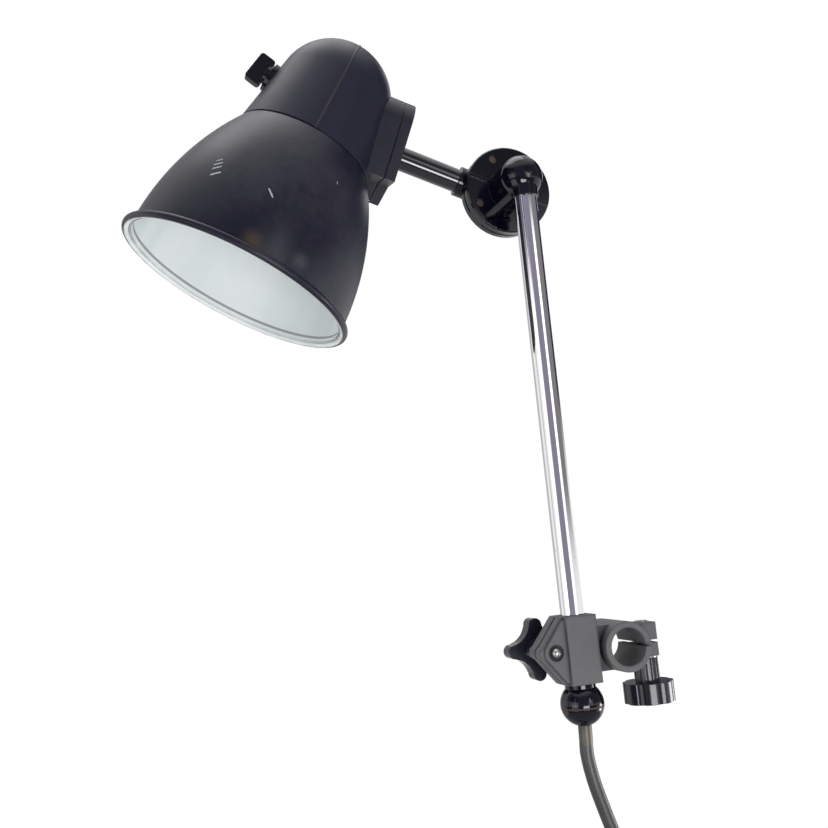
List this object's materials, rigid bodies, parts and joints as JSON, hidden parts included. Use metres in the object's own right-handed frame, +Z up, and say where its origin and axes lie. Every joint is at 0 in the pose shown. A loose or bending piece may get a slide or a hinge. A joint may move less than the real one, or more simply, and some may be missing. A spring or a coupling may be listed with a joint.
{
  "type": "clamp-on task lamp",
  "caption": "Black bell-shade task lamp on a short arm, with a disc elbow and a chromed rod held in a cast bar clamp.",
  "frame": {"origin": "middle of the clamp ring's bore", "axes": "+Y along the bore, +Z up along the rod, -X towards the shade"},
  "size_m": [0.3004, 0.148, 0.6952],
  "materials": {
    "enamel_satin": "satin black enamel, silver inside",
    "enamel_gloss": "glossy black enamel",
    "bakelite": "worn satin moulding",
    "knob_black": "glossy black moulding",
    "cream_moulding": "cream moulding",
    "chrome": "bright chrome",
    "cast_grey": "dull grey casting",
    "steel": "plain steel",
    "brass": "dull brass",
    "fibre": "brown fibre",
    "rubber": "matt rubber",
    "tie_black": "matt strap"
  },
  "bodies": {
    "clamp": {"clamp_body": "cast_grey", "cheek_washer": "steel", "lug_washer": "steel"},
    "star_screw": {"star_stud": "steel"},
    "star": {"star_knob": "knob_black"},
    "thumb_screw": {"thumb_stud": "steel"},
    "thumb": {"thumb_knob": "knob_black"},
    "rod": {"rod_tube": "chrome", "ball_upper": "knob_black", "ball_gasket": "fibre", "ball_lower": "knob_black", "cord_bush": "rubber", "rod_lead": "rubber", "cord": "rubber", "cord_coil": "rubber", "cord_tie": "tie_black", "plug_body": "rubber", "plug_pins": "brass"},
    "knuckle": {"disc_front": "enamel_gloss", "disc_screws": "brass", "pivot_stud": "steel", "pivot_washer": "steel", "pivot_nut": "steel", "friction_washer": "fibre"},
    "arm": {"disc_rear": "enamel_gloss", "arm_tube": "enamel_gloss", "arm_lead": "rubber", "bracket_outer": "bakelite", "nipple": "steel", "nipple_nut": "steel"},
    "head": {"bracket_inner": "bakelite", "saddle_screws": "steel", "dome": "bakelite", "shade": "enamel_satin", "shade_ring": "knob_black", "holder_skirt": "knob_black", "holder_base": "cream_moulding", "thread_shell": "brass", "centre_contact": "brass", "holder_screw": "steel", "switch_collar": "knob_black"},
    "switch": {"switch_spindle": "steel", "switch_paddle": "knob_black"}
  },
  "joints": [
    {"name": "star_travel", "type": "slide", "parent": "clamp", "child": "star_screw", "axis": [0, 1, 0], "range_m": [0, 0.0015]},
    {"name": "star_turn", "type": "hinge", "parent": "star_screw", "child": "star", "pos_m": [-0.0424, -0.002, 0.001], "axis": [0, 1, 0], "range_deg": [0, 544]},
    {"name": "thumb_travel", "type": "slide", "parent": "clamp", "child": "thumb_screw", "axis": [0, 0, -1], "range_m": [0, 0.00187]},
    {"name": "thumb_turn", "type": "hinge", "parent": "thumb_screw", "child": "thumb", "pos_m": [0.0195, 0.002, 0], "axis": [0, 0, -1], "range_deg": [0, 544]},
    {"name": "rod_slide", "type": "slide", "parent": "clamp", "child": "rod", "axis": [0, 0, 1], "range_m": [-0.12, 0]},
    {"name": "rod_swivel", "type": "hinge", "parent": "rod", "child": "knuckle", "pos_m": [-0.026, -0.002, 0.28], "axis": [0, 0, 1], "range_deg": [-170, 170]},
    {"name": "elbow_tilt", "type": "hinge", "parent": "knuckle", "child": "arm", "pos_m": [-0.026, 0.028, 0.2886], "axis": [0, 1, 0], "range_deg": [-25, 65]},
    {"name": "head_swivel", "type": "hinge", "parent": "arm", "child": "head", "pos_m": [-0.14272, 0.038, 0.3354], "axis": [-0.9282, 0, 0.3722], "range_deg": [-90, 90]},
    {"name": "switch_turn", "type": "hinge", "parent": "head", "child": "switch", "pos_m": [-0.13951, 0.038, 0.34082], "axis": [-0.7722, 0, 0.6354], "continuous": true}
  ],
  "couplings": [
    {"joint": "star_turn", "follows": "star_travel", "rad_per_m": 6283.2},
    {"joint": "thumb_turn", "follows": "thumb_travel", "rad_per_m": 5026.5}
  ]
}
